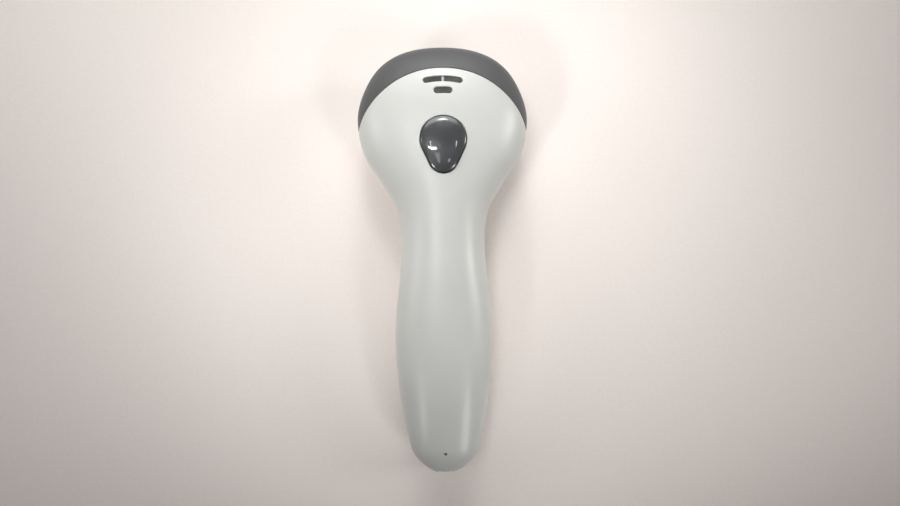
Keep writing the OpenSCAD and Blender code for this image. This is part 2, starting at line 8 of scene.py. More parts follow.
import bmesh
import bpy
import numpy as np
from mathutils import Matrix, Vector


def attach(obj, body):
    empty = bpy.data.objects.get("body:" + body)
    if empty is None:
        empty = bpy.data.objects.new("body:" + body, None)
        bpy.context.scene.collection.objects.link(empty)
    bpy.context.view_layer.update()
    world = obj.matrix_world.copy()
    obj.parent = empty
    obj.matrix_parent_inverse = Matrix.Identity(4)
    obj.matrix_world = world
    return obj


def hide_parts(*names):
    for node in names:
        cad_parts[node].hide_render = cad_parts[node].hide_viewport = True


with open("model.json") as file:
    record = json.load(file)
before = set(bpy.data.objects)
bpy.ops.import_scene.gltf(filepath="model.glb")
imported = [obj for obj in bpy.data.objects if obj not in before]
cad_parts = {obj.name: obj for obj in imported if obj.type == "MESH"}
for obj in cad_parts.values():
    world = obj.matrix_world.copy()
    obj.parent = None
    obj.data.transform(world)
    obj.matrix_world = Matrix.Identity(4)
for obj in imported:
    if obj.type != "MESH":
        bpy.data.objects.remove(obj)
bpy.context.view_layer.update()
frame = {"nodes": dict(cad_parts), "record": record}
nodes = frame["nodes"]
MM = 0.001

# ---------------------------------------------------------------- camera
LENS_MM = 29.12
camera = bpy.data.objects.new("camera", bpy.data.cameras.new("camera"))
camera.data.lens = LENS_MM
camera.data.sensor_width = 36
camera.data.clip_start = 0.01
camera.location = (-0.00608, -0.02913, 0.35467)
camera.rotation_euler = [math.radians(a) for a in (5.244, -1.491, -0.598)]
bpy.context.scene.collection.objects.link(camera)
bpy.context.scene.camera = camera

# ---------------------------------------------------------------- shape of the body
# Ribs, as in the CAD: place along Y, half width, top, widest level, bottom, squareness above and below
# that level.
PALM, HEAD = 22.4, 39.3
RIBS = np.array([
    (-98.5, 11.9, 22.2, 16.6, 3.0, 2.20, 2.20),
    (-88.5, 15.0, 24.0, 15.2, 0.4, 2.30, 2.30),
    (-78.5, PALM - 4.9, 26.6, 14.4, -0.8, 2.40, 2.40),
    (-65.0, PALM - 2.3, 29.6, 14.0, -0.8, 2.40, 2.40),
    (-53.0, PALM - 0.8, 31.6, 14.8, 0.2, 2.40, 2.40),
    (-38.0, PALM, 33.5, 15.8, 1.8, 2.40, 2.40),
    (-23.0, PALM - 0.7, 34.8, 17.0, 4.0, 2.30, 2.30),
    (-10.0, PALM - 2.2, 35.7, 18.2, 6.4, 2.20, 2.20),
    (4.0, PALM - 3.3, 36.6, 19.2, 8.0, 2.10, 2.10),
    (15.0, PALM - 2.8, 37.6, 20.0, 8.0, 2.10, 2.10),
    (24.0, PALM - 0.3, 38.6, 20.6, 6.6, 2.10, 2.15),
    (34.0, HEAD - 11.2, 39.8, 21.2, 3.6, 2.10, 2.25),
    (47.0, HEAD - 3.0, 41.2, 21.8, -0.6, 2.15, 2.50),
    (62.0, HEAD, 42.0, 22.4, -1.5, 2.20, 2.90),
    (80.0, HEAD - 0.6, 42.2, 22.4, -1.0, 2.20, 3.20),
    (98.5, HEAD + 0.6, 42.4, 24.0, -0.5, 2.20, 3.20),
])
WIDTH, TOP, MID, BOTTOM, SQUARE_UP, SQUARE_DOWN = range(1, 7)
# The handle's end and the nose stop a little short of the CAD's, so that the looks stay inside its box.
TAIL_TIP, NOSE_TIP = -98.4, 96.5
NOSE_END = NOSE_TIP - 0.25
TAIL_R = 12
NOSE_W_FROM = 59.2
NOSE_H_FROM = 50
WALL = 2.2
REVEAL = 0.16
ROOM_END = -87
SEAM_Y, SEAM_R = 40.7, 42.4
SEAM_FROM = 45.0                     # every point of the seam lies ahead of this
BISECTIONS = 30

place = RIBS[:, 0]
before = np.maximum(np.arange(len(RIBS)) - 1, 0)
after = np.minimum(np.arange(len(RIBS)) + 1, len(RIBS) - 1)
slopes = (RIBS[after] - RIBS[before]) / (place[after] - place[before])[:, None]


def rib(y, column):
    """One column of RIBS at y, on a smooth curve through the ribs."""
    i = np.clip(np.searchsorted(place, y, side="right") - 1, 0, len(place) - 2)
    h = place[i + 1] - place[i]
    u = (y - place[i]) / h
    value, slope = RIBS[:, column], slopes[:, column]
    return (
        value[i] * (2 * u**3 - 3 * u**2 + 1)
        + value[i + 1] * (3 * u**2 - 2 * u**3)
        + h * slope[i] * (u**3 - 2 * u**2 + u)
        + h * slope[i + 1] * (u**3 - u**2)
    )


def rounding(t, power):
    return np.maximum(0, 1 - np.maximum(0, t) ** power) ** (1 / power)


def tail(y):
    return rounding(1 - (y - TAIL_TIP) / TAIL_R, 2)


def nose(y, start, power):
    return rounding((y - start) / (NOSE_TIP - start), power)


def half_width(y):
    return tail(y) * nose(y, NOSE_W_FROM, 2.44) * rib(y, WIDTH)


def rise(y):
    return tail(y) * nose(y, NOSE_H_FROM, 2.6) * (rib(y, TOP) - rib(y, MID))


def drop(y):
    return tail(y) * nose(y, NOSE_H_FROM, 3.5) * (rib(y, MID) - rib(y, BOTTOM))


def bulge(a, power):
    return np.sign(a) * np.abs(a) ** (2 / power)


def skin(y, a, side, inset=0.0, gap=0.0, lowest=0.0):
    """Points of the skin at places y and angles a in degrees, upper half for side 1 and lower for -1."""
    y, a = np.broadcast_arrays(np.asarray(y, float), np.asarray(a, float))
    up, down, level = rib(y, SQUARE_UP), rib(y, SQUARE_DOWN), rib(y, MID)
    c = bulge(np.cos(np.radians(a)), up)
    if side > 0:
        s = bulge(np.maximum(0, np.sin(np.radians(a))), up)
        z = level + gap + s * (rise(y) - inset - gap)
    else:
        s = np.maximum(0, 1 - np.minimum(1, np.abs(c)) ** down) ** (1 / down)
        z = np.maximum(lowest, level - gap - s * (drop(y) - inset - gap))
    return np.stack([np.maximum(0, half_width(y) - inset) * c, y, z], -1)


def arch(x, y, column):
    power = rib(y, column)
    across = np.minimum(1, np.abs(x) / np.maximum(0.01, half_width(y)))
    return np.maximum(0, 1 - across**power) ** (1 / power)


def roof(x, y):
    return rib(y, MID) + rise(y) * arch(x, y, SQUARE_UP)


def ground(x, y):
    return np.maximum(0, rib(y, MID) - drop(y) * arch(x, y, SQUARE_DOWN))


def meet(a, inset, r):
    """Where the skin at angles a meets the seam, an upright cylinder of radius r."""
    low, high = np.full(len(a), SEAM_FROM), np.full(len(a), NOSE_TIP - 0.5)
    for _ in range(BISECTIONS):
        mid = (low + high) / 2
        p = skin(mid, a, 1, inset)
        past = p[:, 0] ** 2 + (mid - SEAM_Y) ** 2 > r * r
        high, low = np.where(past, mid, high), np.where(past, low, mid)
    return (low + high) / 2


def roll(d, r):
    """How far an edge of radius r has rolled in at distance d from it."""
    t = np.clip(d, 0, r)
    return r - np.sqrt(np.maximum(0, r * r - (r - t) ** 2))


# ---------------------------------------------------------------- meshes
SHARP_DEG = 38
WELD_M = 2e-8


def new_object(name, verts, faces):
    """A cleaned mesh from points in millimetres. Corners that a face lists twice are dropped."""
    loops = [list(dict.fromkeys(map(int, f))) for f in faces]
    mesh = bpy.data.meshes.new(name)
    mesh.from_pydata((np.asarray(verts) * MM).tolist(), [], [f for f in loops if len(f) > 2])
    obj = bpy.data.objects.new(name, mesh)
    bpy.context.scene.collection.objects.link(obj)
    clean(obj)
    return obj


def shade_smooth(obj):
    for p in obj.data.polygons:
        p.use_smooth = True
    obj.data.set_sharp_from_angle(angle=math.radians(SHARP_DEG))


def clean(obj):
    """Welds, turns the faces outwards and shades smooth between sharp edges."""
    bm = bmesh.new()
    bm.from_mesh(obj.data)
    bmesh.ops.remove_doubles(bm, verts=bm.verts, dist=WELD_M)
    bmesh.ops.recalc_face_normals(bm, faces=bm.faces)
    if bm.calc_volume(signed=True) < 0:
        bmesh.ops.reverse_faces(bm, faces=bm.faces)
    bm.to_mesh(obj.data)
    bm.free()
    shade_smooth(obj)


def grid_faces(rows, columns):
    """Quads over a grid of points numbered row by row, each row closed into a ring."""
    k, i = np.meshgrid(np.arange(rows - 1), np.arange(columns), indexing="ij")
    j = (i + 1) % columns
    here, ahead = k * columns, (k + 1) * columns
    return np.stack([here + i, ahead + i, ahead + j, here + j], -1).reshape(-1, 4)


def boolean(obj, other, operation="DIFFERENCE"):
    """Cuts the other mesh out of obj, or adds it, and removes it."""
    mod = obj.modifiers.new("cut", "BOOLEAN")
    mod.object, mod.operation, mod.solver = other, operation, "MANIFOLD"
    mesh = bpy.data.meshes.new_from_object(obj.evaluated_get(bpy.context.evaluated_depsgraph_get()))
    obj.modifiers.clear()
    obj.data = mesh
    bpy.data.objects.remove(other)


def join(obj, *others):
    """Adds the others' meshes to obj's and removes them."""
    bm = bmesh.new()
    for o in (obj, *others):
        bm.from_mesh(o.data)
    bm.to_mesh(obj.data)
    bm.free()
    for o in others:
        bpy.data.objects.remove(o)
    shade_smooth(obj)


def prism(name, outline, low, high, place_it=None):
    """A closed prism over an outline in a plane. place_it turns local x, y, z into the row frame."""
    n = len(outline)
    pts = np.concatenate([np.column_stack([outline, np.full(n, z)]) for z in (low, high)])
    if place_it is not None:
        pts = place_it(pts)
    faces = [list(range(n)), list(range(n, 2 * n))] + grid_faces(2, n).tolist()
    return new_object(name, pts, faces)


# ---------------------------------------------------------------- outlines
def arc(cx, cy, r, start, end, count):
    a = np.radians(np.linspace(start, end, count))
    return np.column_stack([cx + r * np.cos(a), cy + r * np.sin(a)])


def line(p, q, count):
    """Points strictly between p and q."""
    u = np.linspace(0, 1, count + 2)[1:-1, None]
    return np.asarray(p) * (1 - u) + np.asarray(q) * u


BUTTON_Y, BUTTON_R, BUTTON_TIP_Y, BUTTON_TIP_R = 50.1, 10.0, 41.7, 6.4


def button_outline(d):
    """The button's outline grown by d."""
    lean = math.degrees(math.asin((BUTTON_R - BUTTON_TIP_R) / (BUTTON_Y - BUTTON_TIP_Y)))
    top = arc(0, BUTTON_Y, BUTTON_R + d, -lean, 180 + lean, 64)
    tip = arc(0, BUTTON_TIP_Y, BUTTON_TIP_R + d, 180 + lean, 360 - lean, 36)
    return np.concatenate([top, line(top[-1], tip[0], 14), tip, line(tip[-1], top[0], 14)])


def arc_slot(r, half_length, width):
    """Outline, by growth d, of a slot with round ends that follows an arc about the seam's centre."""
    a = math.degrees(half_length / r)

    def outline(d):
        w = width / 2 + d
        ends = [(r * math.sin(s), SEAM_Y + r * math.cos(s)) for s in (math.radians(a), -math.radians(a))]
        return np.concatenate([
            arc(0, SEAM_Y, r + w, 90 - a, 90 + a, 40)[:-1],
            arc(*ends[1], w, 90 + a, 270 + a, 20)[:-1],
            arc(0, SEAM_Y, r - w, 90 + a, 90 - a, 40)[:-1],
            arc(*ends[0], w, -90 - a, 90 - a, 20)[:-1],
        ])

    return outline


def circle(x, y, r, count=40):
    return lambda d: arc(x, y, r + d, 0, 360, count + 1)[:-1]


def rounded_rect(w, h, r, count=12, side=30):
    """Outline, by growth d, of a rectangle with round corners about the origin."""

    def outline(d):
        x, y = w / 2 - r, h / 2 - r
        turns = ((1, 1, 0), (-1, 1, 90), (-1, -1, 180), (1, -1, 270))
        corners = [arc(sx * x, sy * y, r + d, a, a + 90, count) for sx, sy, a in turns]
        parts = []
        for i, c in enumerate(corners):
            parts += [c, line(c[-1], corners[(i + 1) % 4][0], side)]
        return np.concatenate(parts)

    return outline


def rolled_edge(r):
    """Growths and depths of the rings round an opening's edge of radius r."""
    return [(r * (1 - math.sin(f)), r * (1 - math.cos(f))) for f in np.radians([15, 30, 45, 60, 75, 90])]


def lip(name, outline, r, depth, height, out=1):
    """The rolled edge of an opening in a skin, and its wall. height(x, y) is the skin and out is 1 for the
    roof, -1 for the underside."""
    rows = [(r + 0.12, 0.012), (r, 0.0), *rolled_edge(r), (0, depth)]
    pts = []
    for d, down in rows:
        o = outline(d)
        pts.append(np.column_stack([o, height(o[:, 0], o[:, 1]) - out * down]))
    return new_object(name, np.concatenate(pts), grid_faces(len(rows), len(pts[0])))


def plug(name, outline, offsets, depth, centre=None):
    """A domed cap that fills an outline: rings at the given growths, each at its own height, closed in the
    middle. With a centre, more rings shrink towards it."""
    pts = []
    for d, z in zip(offsets, depth):
        o = outline(d)
        pts.append(np.column_stack([o, z(o[:, 0], o[:, 1])]))
    if centre is not None:
        last = pts[-1]
        for u in np.linspace(0.85, 0.1, 8):
            o = centre + (last[:, :2] - centre) * u
            pts.append(np.column_stack([o, depth[-1](o[:, 0], o[:, 1])]))
    n, count = len(pts[0]), len(pts)
    faces = grid_faces(count, n).tolist() + [list(range((count - 1) * n, count * n)), list(range(n))]
    return new_object(name, np.concatenate(pts), faces)


def lathe(name, x, y, profile):
    """A closed ring turned about an upright axis through x, y. profile is a loop of radius, height."""
    count = 40
    a = np.radians(np.arange(count) * 360 / count)
    rings = [
        np.column_stack([x + r * np.cos(a), y + r * np.sin(a), np.full(count, z)])
        for r, z in profile + profile[:1]
    ]
    return new_object(name, np.concatenate(rings), grid_faces(len(rings), count))


# ---------------------------------------------------------------- housing
EDGE = 0.32                          # radius of the rolled edges along the seam and the parting line
HEAD_FROM = 44                       # where the straight sections of the shells give way to the seam's arc
# Angles of a section's points, crowded at the parting line, and steps back from the seam, crowded at it.
FINE = np.array([0, 0.4, 0.8, 1.3, 1.9, 2.6, 3.5])
ANGLES = np.concatenate([FINE, np.linspace(5, 175, 96), 180 - FINE[::-1]])
SEAM_STEPS = np.array([1.4, 0.9, 0.55, 0.36, 0.24, 0.14, 0.06, 0.0])


def shell(name, side):
    """The upper half of the housing for side 1, the lower for -1. Behind ROOM_END it is solid."""
    r = SEAM_R - REVEAL / 2
    front = [meet(ANGLES, inset, r) for inset in (0, WALL)]

    def section(y_out, y_in, hollow):
        raw = skin(y_out, ANGLES, side)
        from_seam = r - np.hypot(raw[:, 0], raw[:, 1] - SEAM_Y)
        from_parting = np.abs(raw[:, 2] - rib(y_out, MID)) - REVEAL / 2
        near_front = np.asarray(y_out) > SEAM_FROM
        inset = np.maximum(roll(from_parting, EDGE), np.where(near_front, roll(from_seam, EDGE), 0))
        outer = skin(y_out, ANGLES, side, np.minimum(inset, half_width(y_out) * 0.3), REVEAL / 2)
        inner = skin(y_in, ANGLES, side, WALL, REVEAL / 2, WALL)
        if not hollow:
            inner = np.column_stack([outer[:, 0], outer[:, 1], rib(y_out, MID) + side * REVEAL / 2])
        return np.concatenate([outer, inner[::-1]])

    def straight(y, hollow):
        ys = np.full(len(ANGLES), y)
        return section(ys, ys, hollow)

    tail_angles = np.radians(np.linspace(5, 75, 26))
    rows = [straight(TAIL_TIP + TAIL_R * (1 - math.cos(f)), False) for f in tail_angles]
    rows += [straight(y, False) for y in np.linspace(-89, ROOM_END, 3)]
    rows += [straight(y, True) for y in np.linspace(ROOM_END, HEAD_FROM, 150)]
    edge = [f - SEAM_STEPS[0] for f in front]
    for u in np.linspace(0, 1, 44)[1:]:
        rows.append(section(*(HEAD_FROM + u * (e - HEAD_FROM) for e in edge), True))
    rows += [section(front[0] - s, front[1] - s, True) for s in SEAM_STEPS[1:]]
    n, count = len(rows[0]), len(rows)
    caps = []
    for first in (0, (count - 1) * n):
        caps += [(first + i, first + i + 1, first + n - 2 - i, first + n - 1 - i) for i in range(n // 2 - 1)]
    return new_object(name, np.concatenate(rows), np.concatenate([grid_faces(count, n), caps]))


# The cable port: half width, floor and top of the plug's opening, half width and top of the latch's channel.
PORT_X, PORT_LOW, PORT_HIGH = 6.1, 9.4, 16.4
LATCH_X, LATCH_HIGH = 3.3, 18.8
JACK_Y = -86.5


def port_cutter():
    right = [(PORT_X, PORT_LOW), (PORT_X, PORT_HIGH), (LATCH_X, PORT_HIGH), (LATCH_X, LATCH_HIGH)]
    left = [(-x, z) for x, z in right[::-1]]
    return prism("port", np.array(left[-1:] + right + left[:-1]), -110, JACK_Y, lambda p: p[:, [0, 2, 1]])


long_slot = arc_slot(36.9, 7.5, 2.7)
short_slot = arc_slot(31.4, 2.6, 3.1)
pin_hole = circle(0, -88.8, 0.65, 28)
BUTTON_GAP = 0.35
ROOF_CUT, GROUND_CUT = (19.5, 50), (-4, 12)

top = shell("top_housing", 1)
boolean(top, port_cutter())
lips = []
for name, outline, r, depth in (
    ("button_opening", lambda d: button_outline(BUTTON_GAP + d), 0.5, 3.4),
    ("long_opening", long_slot, 0.4, 2.6),
    ("short_opening", short_slot, 0.4, 2.6),
    ("pin_opening", pin_hole, 0.16, 4.5),
):
    boolean(top, prism("cutter", outline(r), *ROOF_CUT))
    lips.append(lip(name, outline, r, depth, roof))
clean(top)
join(top, *lips)

CASE_SCREWS = ((-27, 55), (27, 55), (0, -12))
SCREW_HOLE_R, SCREW_SEAT_Z, SCREW_SPLIT_Z = 2.7, 13.0, 18.0
BEEPER = (-5.6, -46)
SOUND_HOLE_R, SOUND_RING_R = 0.7, 3
LABEL_Y, LABEL_W, LABEL_H, LABEL_DEPTH = 58, 23, 20, 0.4
bottom = shell("bottom_housing", -1)
boolean(bottom, port_cutter())
lips = []
# Outline, edge radius and depth of the screws' recesses and of the beeper's sound holes.
holes = [(circle(x, y, SCREW_HOLE_R), 0.3, 8.0) for x, y in CASE_SCREWS]
sounds = [BEEPER]
for a in np.radians([45, 135, 225, 315]):
    sounds.append((BEEPER[0] + SOUND_RING_R * math.cos(a), BEEPER[1] + SOUND_RING_R * math.sin(a)))
holes += [(circle(x, y, SOUND_HOLE_R, 20), 0.15, 2.0) for x, y in sounds]
for outline, r, depth in holes:
    boolean(bottom, prism("cutter", outline(r), *GROUND_CUT))
    lips.append(lip("opening", outline, r, depth, ground, out=-1))
recess = rounded_rect(LABEL_W, LABEL_H, 2, 10, 12)
boolean(bottom, prism("cutter", recess(0) + (0, LABEL_Y), GROUND_CUT[0], LABEL_DEPTH))
# Radius and height round the section of a pillar that a case screw passes through.
pillar = [
    (2.69, 9.0), (2.69, SCREW_SEAT_Z), (1.5, SCREW_SEAT_Z),
    (1.5, SCREW_SPLIT_Z), (3.6, SCREW_SPLIT_Z), (3.6, 9.0),
]
for x, y in CASE_SCREWS:
    lips.append(lathe("pillar", x, y, pillar))
clean(bottom)
join(bottom, *lips)

# ---------------------------------------------------------------- nose
WINDOW_Y, WINDOW_Z, WINDOW_TILT, WINDOW_W, WINDOW_H = 78, 16, 10, 55, 20
REACH = 45.0                         # from the window's plane to beyond the nose


def at_window(p):
    """Local x, y down, z out through the window, into the row frame."""
    cos, sin = math.cos(math.radians(WINDOW_TILT)), math.sin(math.radians(WINDOW_TILT))
    x, y, z = p[:, 0], p[:, 1], p[:, 2]
    return np.column_stack([x, WINDOW_Y + z * cos - y * sin, WINDOW_Z - y * cos - z * sin])


def inside_nose(p):
    x, y, z = p.T
    level = np.clip(y, TAIL_TIP, NOSE_END)
    return (y < NOSE_END) & (np.abs(x) < half_width(level)) & (z < roof(x, level)) & (z > ground(x, level))


def exit_depth(outline):
    """How far out from the window's plane each point of an outline leaves the nose."""
    low, high = np.zeros(len(outline)), np.full(len(outline), REACH)
    for _ in range(BISECTIONS):
        mid = (low + high) / 2
        inside = inside_nose(at_window(np.column_stack([outline, mid])))
        low, high = np.where(inside, mid, low), np.where(inside, high, mid)
    return low


def nose_block():
    """The nose from the seam to its tip, solid."""
    r = SEAM_R + REVEAL / 2
    back = meet(ANGLES, 0, r)
    ends = np.concatenate([SEAM_STEPS[::-1] / 40, np.sin(np.radians(np.linspace(4, 90, 56)))])
    rows = []
    for u in ends:
        y = back + u * (NOSE_END - back)
        halves = []
        for side in (1, -1):
            raw = skin(y, ANGLES, side)
            from_seam = np.hypot(raw[:, 0], raw[:, 1] - SEAM_Y) - r
            halves.append(skin(y, ANGLES, side, np.where(u < 0.2, roll(from_seam, EDGE), 0)))
        rows.append(np.concatenate([halves[0], halves[1][-2:0:-1]]))
    n, half = len(rows[0]), len(ANGLES) - 1
    back_cap = np.array([(i, i + 1, (n - i - 1) % n, (n - i) % n) for i in range(half)])
    tip_cap = back_cap[:, ::-1] + (len(rows) - 1) * n
    faces = np.concatenate([grid_faces(len(rows), n), back_cap, tip_cap])
    return new_object("bumper", np.concatenate(rows), faces)


MOUTH_R = 0.9
mouth = rounded_rect(WINDOW_W - 4, WINDOW_H - 4, 4)
bumper = nose_block()
frame_block = rounded_rect(WINDOW_W + 3.6, WINDOW_H + 2.4, 5)
boolean(bumper, prism("frame", frame_block(0), -3.2, 3.8, at_window), "UNION")
boolean(bumper, prism("mouth", mouth(0), -4, 6, at_window))
boolean(bumper, prism("mouth", mouth(MOUTH_R), 5.9, REACH, at_window))
seat = rounded_rect(WINDOW_W + 0.4, WINDOW_H + 0.4, 3.2)
boolean(bumper, prism("seat", seat(0), -16, 0, at_window))
clean(bumper)
pts = []
for d, down in [(MOUTH_R + 0.1, 0.03), (MOUTH_R, 0.0), *rolled_edge(MOUTH_R)]:
    o = mouth(d)
    pts.append(at_window(np.column_stack([o, exit_depth(o) - down])))
pts.append(at_window(np.column_stack([mouth(0), np.full(len(mouth(0)), 5.0)])))
join(bumper, new_object("mouth_lip", np.concatenate(pts), grid_faces(len(pts), len(pts[0]))))

# ---------------------------------------------------------------- button and lenses
CROWN_R, CROWN_Z = 45, 43.6
BUTTON_CENTRE = np.array([0, 48.6])
# How far in the button's edge starts to roll, how far it sinks at the rim, and where its sides end.
BUTTON_EDGE, BUTTON_SINK, BUTTON_FOOT_Z = 3.4, 0.55, 36.2


def crown(x, y):
    return CROWN_Z - CROWN_R + np.sqrt(CROWN_R**2 - x**2 - (y - BUTTON_Y) ** 2)


def rolled(surface, amount):
    return lambda x, y: surface(x, y) - amount


def button_foot(x, y):
    return np.full(len(x), BUTTON_FOOT_Z)


offsets, depths = [-0.5, 0.0, 0.0], [button_foot, button_foot, rolled(crown, 2.4)]
for k in np.linspace(0, 1, 14):
    offsets.append(-BUTTON_EDGE * (1 - math.cos(k * math.pi / 2)))
    depths.append(rolled(crown, BUTTON_SINK * (1 - math.sin(k * math.pi / 2))))
for k in (0.8, 1.6, 2.3):
    offsets.append(-BUTTON_EDGE - k)
    depths.append(crown)
button = plug("trigger", button_outline, offsets, depths, BUTTON_CENTRE)

# Growths of a lens cap's rings and how far each lies below the roof.
LENS_GROWTHS = [-0.06, -0.06, -0.08, -0.16, -0.3, -0.6, -1.0]
LENS_DEPTHS = [rolled(roof, s) for s in (3.0, 1.6, 1.45, 1.3, 1.22, 1.17, 1.15)]
lens = plug("long_lens", long_slot, LENS_GROWTHS, LENS_DEPTHS)
join(lens, plug("short_lens", short_slot, LENS_GROWTHS, LENS_DEPTHS))
lens.name = "indicator_windows"

# ---------------------------------------------------------------- materials
class Look:
    """A node material on object coordinates, which are metres in the row frame."""

    def __init__(self, name):
        self.material = bpy.data.materials.new(name)
        self.material.use_nodes = True
        self.tree = self.material.node_tree
        self.shader = self.tree.nodes["Principled BSDF"]
        self.coords = self.tree.nodes.new("ShaderNodeTexCoord").outputs["Object"]

    def node(self, kind, **inputs):
        made = self.tree.nodes.new(kind)
        for key, value in inputs.items():
            self.feed(made.inputs[key.replace("_", " ")], value)
        return made

    def feed(self, socket, value):
        if isinstance(value, bpy.types.NodeSocket):
            self.tree.links.new(value, socket)
        else:
            socket.default_value = value

    def stretched(self, factors):
        made = self.node("ShaderNodeMapping", Vector=self.coords)
        made.inputs["Scale"].default_value = factors
        return made.outputs["Vector"]

    def noise(self, scale, detail=3.0, roughness=0.5, vector=None):
        place = vector or self.coords
        made = self.node("ShaderNodeTexNoise", Vector=place, Scale=scale, Detail=detail, Roughness=roughness)
        return made.outputs["Fac"]

    def cells(self, scale):
        return self.node("ShaderNodeTexVoronoi", Vector=self.coords, Scale=scale).outputs["Distance"]

    def bands(self, scale, direction="X", distortion=0.0):
        made = self.node("ShaderNodeTexWave", Vector=self.coords, Scale=scale, Distortion=distortion)
        made.bands_direction = direction
        return made.outputs["Fac"]

    def range(self, value, low, high, to_low=0.0, to_high=1.0):
        made = self.node("ShaderNodeMapRange")
        for socket, v in zip(made.inputs[:5], (value, low, high, to_low, to_high)):
            self.feed(socket, v)
        return made.outputs["Result"]

    def mix(self, factor, a, b):
        made = self.tree.nodes.new("ShaderNodeMix")
        made.data_type = "RGBA"
        self.feed(made.inputs[0], factor)
        self.feed(made.inputs[6], a if isinstance(a, bpy.types.NodeSocket) else (*a, 1))
        self.feed(made.inputs[7], b if isinstance(b, bpy.types.NodeSocket) else (*b, 1))
        return made.outputs[2]

    def bump(self, height, strength, distance_mm, after=None):
        made = self.node("ShaderNodeBump", Height=height, Strength=strength, Distance=distance_mm * MM)
        if after is not None:
            self.feed(made.inputs["Normal"], after)
        return made.outputs["Normal"]

    def set(self, **inputs):
        for key, value in inputs.items():
            value = (*value, 1) if isinstance(value, tuple) and len(value) == 3 else value
            self.feed(self.shader.inputs[key.replace("_", " ")], value)
        return self.material


def shade(color, factor):
    return tuple(min(1, c * factor) for c in color)


def moulded(name, color, rough, grain_mm, grain, speck):
    """Moulded plastic: spark-eroded grain, a slight cloud in the colour, fine wear and dust."""
    look = Look(name)
    cloud = look.range(look.noise(28, 4), 0.3, 0.7)
    base = look.mix(cloud, shade(color, 0.965), shade(color, 1.03))
    dust = look.range(look.noise(1900, 2, 0.6), 0.70, 0.76)
    base = look.mix(look.range(dust, 0, 1, 0, speck), base, shade(color, 0.55 if color[0] > 0.3 else 2.2))
    scratch = look.range(look.noise(210, 6, 0.7, look.stretched((5.5, 0.5, 1))), 0.63, 0.70)
    rub = look.range(look.noise(60, 5, 0.6), 0.35, 0.75, rough - 0.045, rough + 0.055)
    roughness = look.node("ShaderNodeMath", Value=rub)
    roughness.operation = "ADD"
    look.feed(roughness.inputs[1], look.range(scratch, 0, 1, 0, 0.07))
    fine = look.noise(1000 / grain_mm, 2, 0.55)
    normal = look.bump(fine, grain, 0.02)
    normal = look.bump(look.noise(90, 2, 0.5), 0.10, 0.10, normal)
    return look.set(Base_Color=base, Roughness=roughness.outputs[0], Normal=normal)


def metal(name, color, rough, turned=0.0, stretch=(1, 1, 14)):
    """Drawn, turned or plated metal with fine tool lines."""
    look = Look(name)
    lines = look.noise(2600, 4, 0.6, look.stretched(stretch))
    stain = look.range(look.noise(420, 3), 0.35, 0.7)
    base = look.mix(stain, shade(color, 0.86), shade(color, 1.06))
    roughness = look.range(lines, 0.3, 0.7, rough - 0.07, rough + 0.1)
    normal = look.bump(lines, 0.25 + turned, 0.01)
    return look.set(Base_Color=base, Metallic=1.0, Roughness=roughness, Normal=normal)


def clear(name, color, rough, weight, ior=1.49, haze=0.05):
    """Moulded optical plastic or glass: slight haze, faint flow marks."""
    look = Look(name)
    flow = look.noise(260, 4, 0.6, look.stretched((1, 2.5, 1)))
    base = look.mix(look.range(flow, 0.3, 0.7), shade(color, 0.93), color)
    roughness = look.range(flow, 0.35, 0.75, rough, rough + haze)
    normal = look.bump(flow, 0.06, 0.03)
    return look.set(Base_Color=base, Roughness=roughness, Normal=normal, Transmission_Weight=weight, IOR=ior)


def board(name):
    """Green solder mask over copper tracks and plated vias."""
    look = Look(name)
    across = look.range(look.bands(320, "X", 1.2), 0.46, 0.54)
    along = look.range(look.bands(250, "Y", 1.6), 0.5, 0.56)
    zone = look.range(look.cells(190), 0.42, 0.46)
    black, white = (0, 0, 0), (1, 1, 1)
    tracks = look.mix(zone, white, black)
    pattern = look.mix(tracks, look.mix(across, black, white), look.mix(along, black, white))
    weave = look.noise(1500, 2)
    mask = look.mix(look.range(weave, 0.3, 0.7), (0.006, 0.085, 0.028), (0.010, 0.12, 0.040))
    base = look.mix(pattern, mask, (0.018, 0.20, 0.062))
    vias = look.range(look.cells(560), 0.12, 0.16)
    base = look.mix(vias, (0.55, 0.42, 0.20), base)
    roughness = look.range(weave, 0.3, 0.7, 0.24, 0.36)
    return look.set(Base_Color=base, Roughness=roughness, Normal=look.bump(pattern, 0.3, 0.04))


def wound(name):
    """Enamelled copper wire laid turn by turn."""
    look = Look(name)
    turns = look.bands(1150, "DIAGONAL")
    base = look.mix(turns, (0.20, 0.065, 0.02), (0.62, 0.26, 0.09))
    roughness = look.range(turns, 0, 1, 0.42, 0.26)
    return look.set(Base_Color=base, Metallic=0.85, Roughness=roughness, Normal=look.bump(turns, 0.8, 0.08))


def striped_film(name):
    """Flat cable: copper strips that show through a pale film."""
    look = Look(name)
    strips = look.range(look.bands(330, "X"), 0.42, 0.58)
    base = look.mix(strips, (0.66, 0.66, 0.62), (0.50, 0.44, 0.36))
    roughness = look.range(look.noise(300), 0.3, 0.7, 0.3, 0.42)
    return look.set(Base_Color=base, Roughness=roughness, Normal=look.bump(strips, 0.35, 0.05))


def foam(name):
    """Black closed-cell foam."""
    look = Look(name)
    pores = look.cells(2600)
    base = look.mix(look.range(pores, 0.1, 0.6), (0.012, 0.012, 0.012), (0.045, 0.045, 0.045))
    roughness = look.range(pores, 0, 0.6, 0.85, 0.97)
    return look.set(Base_Color=base, Roughness=roughness, Normal=look.bump(pores, 0.8, 0.15))


